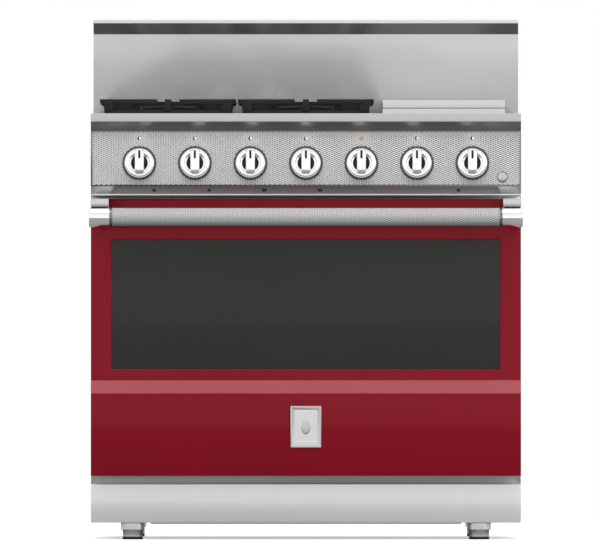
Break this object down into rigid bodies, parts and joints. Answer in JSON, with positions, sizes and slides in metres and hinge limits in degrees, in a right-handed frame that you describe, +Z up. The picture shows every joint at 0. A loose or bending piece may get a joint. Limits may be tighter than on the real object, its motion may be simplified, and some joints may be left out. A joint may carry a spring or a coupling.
{
  "type": "freestanding gas range",
  "caption": "Freestanding gas range with open burners, a griddle, front knobs, a drop-down glazed oven door, a backguard and levelling legs.",
  "frame": {"origin": "on the floor, under the middle of the whole range, door handle included", "axes": "+X right seen from the front, -Y out of the oven door, +Z up"},
  "size_m": [0.9186, 0.7489, 1.108],
  "materials": {
    "steel_sheet": "fine vertical brush",
    "galvanised": "plain zinc-coated sheet",
    "brushed_steel": "fine horizontal brush",
    "textured_steel": "embossed with small staggered bumps",
    "chrome": "bright polished",
    "leg_steel": "satin turned",
    "cast_iron": "matt porcelain on cast iron",
    "brass": "plain machined",
    "pipe": "black pipe",
    "oven_enamel": "speckled dark enamel",
    "fan_steel": "plain pressed",
    "seal": "woven heat seal",
    "door_enamel": "deep burgundy gloss enamel",
    "window_glass": "dark tinted"
  },
  "bodies": {
    "root": {"side_panels": "steel_sheet", "rear_panel": "galvanised", "base_frame": "galvanised", "leg_sockets": "galvanised", "fan_motor": "galvanised", "trim_screws": "galvanised", "door_hinges": "galvanised", "kick_panel": "brushed_steel", "cooktop_pan": "brushed_steel", "front_rail": "brushed_steel", "lower_trim": "brushed_steel", "backguard": "brushed_steel", "griddle_frame": "brushed_steel", "burner_bases": "brushed_steel", "bake_burner": "brushed_steel", "broil_burner": "brushed_steel", "griddle_burner": "brushed_steel", "control_panel": "textured_steel", "knob_bezels": "chrome", "rack_guides": "chrome", "indicator_beads": "chrome", "burner_caps": "cast_iron", "burner_heads": "brass", "control_valves": "brass", "gas_manifold": "pipe", "oven_liner": "oven_enamel", "front_frame": "oven_enamel", "convection_baffle": "oven_enamel", "door_gasket": "seal"},
    "door": {"door_skin": "door_enamel", "door_window": "window_glass", "door_inner_panel": "oven_enamel", "inner_glass": "window_glass", "handle_tube": "textured_steel", "handle_ends": "chrome", "badge": "chrome"},
    "rack_lower": {"oven_rack_lower": "chrome"},
    "rack_upper": {"oven_rack_upper": "chrome"},
    "fan": {"fan_blade": "fan_steel"},
    "light_button": {"light_button": "brushed_steel"},
    "knob_1": {"knob_1": "chrome"},
    "knob_2": {"knob_2": "chrome"},
    "knob_3": {"knob_3": "chrome"},
    "knob_4": {"knob_4": "chrome"},
    "knob_5": {"knob_5": "chrome"},
    "knob_6": {"knob_6": "chrome"},
    "knob_7": {"knob_7": "chrome"},
    "stem_1": {"valve_stem_1": "brass"},
    "stem_2": {"valve_stem_2": "brass"},
    "stem_3": {"valve_stem_3": "brass"},
    "stem_4": {"valve_stem_4": "brass"},
    "stem_7": {"valve_stem_7": "brass"},
    "grate_left": {"grate_left": "cast_iron"},
    "grate_right": {"grate_right": "cast_iron"},
    "griddle_plate": {"griddle_plate": "brushed_steel"},
    "grease_tray": {"grease_tray": "brushed_steel"},
    "leg_front_left": {"leg_front_left": "leg_steel"},
    "leg_front_right": {"leg_front_right": "leg_steel"},
    "leg_rear_left": {"leg_rear_left": "leg_steel"},
    "leg_rear_right": {"leg_rear_right": "leg_steel"}
  },
  "joints": [
    {"name": "door_hinge", "type": "hinge", "parent": "root", "child": "door", "pos_m": [0, -0.295, 0.15], "axis": [1, 0, 0], "range_deg": [0, 90]},
    {"name": "rack_lower_slide", "type": "slide", "parent": "root", "child": "rack_lower", "axis": [0, -1, 0], "range_m": [0, 0.25]},
    {"name": "rack_upper_slide", "type": "slide", "parent": "root", "child": "rack_upper", "axis": [0, -1, 0], "range_m": [0, 0.25]},
    {"name": "stem_1_push", "type": "slide", "parent": "root", "child": "stem_1", "axis": [0, 1, 0], "range_m": [0, 0.003], "stiffness_N_per_m": 600},
    {"name": "knob_1_turn", "type": "hinge", "parent": "stem_1", "child": "knob_1", "pos_m": [-0.3525, -0.345, 0.7976], "axis": [0, -1, 0], "range_deg": [0, 240]},
    {"name": "stem_2_push", "type": "slide", "parent": "root", "child": "stem_2", "axis": [0, 1, 0], "range_m": [0, 0.003], "stiffness_N_per_m": 600},
    {"name": "knob_2_turn", "type": "hinge", "parent": "stem_2", "child": "knob_2", "pos_m": [-0.235, -0.345, 0.7976], "axis": [0, -1, 0], "range_deg": [0, 240]},
    {"name": "stem_3_push", "type": "slide", "parent": "root", "child": "stem_3", "axis": [0, 1, 0], "range_m": [0, 0.003], "stiffness_N_per_m": 600},
    {"name": "knob_3_turn", "type": "hinge", "parent": "stem_3", "child": "knob_3", "pos_m": [-0.1175, -0.345, 0.7976], "axis": [0, -1, 0], "range_deg": [0, 240]},
    {"name": "stem_4_push", "type": "slide", "parent": "root", "child": "stem_4", "axis": [0, 1, 0], "range_m": [0, 0.003], "stiffness_N_per_m": 600},
    {"name": "knob_4_turn", "type": "hinge", "parent": "stem_4", "child": "knob_4", "pos_m": [0, -0.345, 0.7976], "axis": [0, -1, 0], "range_deg": [0, 240]},
    {"name": "knob_5_turn", "type": "hinge", "parent": "root", "child": "knob_5", "pos_m": [0.1175, -0.345, 0.7976], "axis": [0, -1, 0], "range_deg": [0, 300]},
    {"name": "knob_6_turn", "type": "hinge", "parent": "root", "child": "knob_6", "pos_m": [0.235, -0.345, 0.7976], "axis": [0, -1, 0], "range_deg": [0, 270]},
    {"name": "stem_7_push", "type": "slide", "parent": "root", "child": "stem_7", "axis": [0, 1, 0], "range_m": [0, 0.003], "stiffness_N_per_m": 600},
    {"name": "knob_7_turn", "type": "hinge", "parent": "stem_7", "child": "knob_7", "pos_m": [0.3525, -0.345, 0.7976], "axis": [0, -1, 0], "range_deg": [0, 240]},
    {"name": "light_button_press", "type": "slide", "parent": "root", "child": "light_button", "axis": [0, 1, 0], "range_m": [0, 0.0025], "stiffness_N_per_m": 400},
    {"name": "fan_spin", "type": "hinge", "parent": "root", "child": "fan", "pos_m": [0, 0.22, 0.425], "axis": [0, 1, 0], "continuous": true},
    {"name": "grate_left_lift", "type": "slide", "parent": "root", "child": "grate_left", "axis": [0, 0, 1], "range_m": [0, 0.12]},
    {"name": "grate_right_lift", "type": "slide", "parent": "root", "child": "grate_right", "axis": [0, 0, 1], "range_m": [0, 0.12]},
    {"name": "griddle_plate_lift", "type": "slide", "parent": "root", "child": "griddle_plate", "axis": [0, 0, 1], "range_m": [0, 0.12]},
    {"name": "grease_tray_lift", "type": "slide", "parent": "root", "child": "grease_tray", "axis": [0, 0, 1], "range_m": [0, 0.12]},
    {"name": "leg_front_left_level", "type": "slide", "parent": "root", "child": "leg_front_left", "axis": [0, 0, -1], "range_m": [0, 0.038]},
    {"name": "leg_front_right_level", "type": "slide", "parent": "root", "child": "leg_front_right", "axis": [0, 0, -1], "range_m": [0, 0.038]},
    {"name": "leg_rear_left_level", "type": "slide", "parent": "root", "child": "leg_rear_left", "axis": [0, 0, -1], "range_m": [0, 0.038]},
    {"name": "leg_rear_right_level", "type": "slide", "parent": "root", "child": "leg_rear_right", "axis": [0, 0, -1], "range_m": [0, 0.038]}
  ],
  "couplings": [
    {"joint": "rack_lower_slide", "follows": "door_hinge", "m_per_rad": 0.15915},
    {"joint": "rack_upper_slide", "follows": "door_hinge", "m_per_rad": 0.15915}
  ]
}
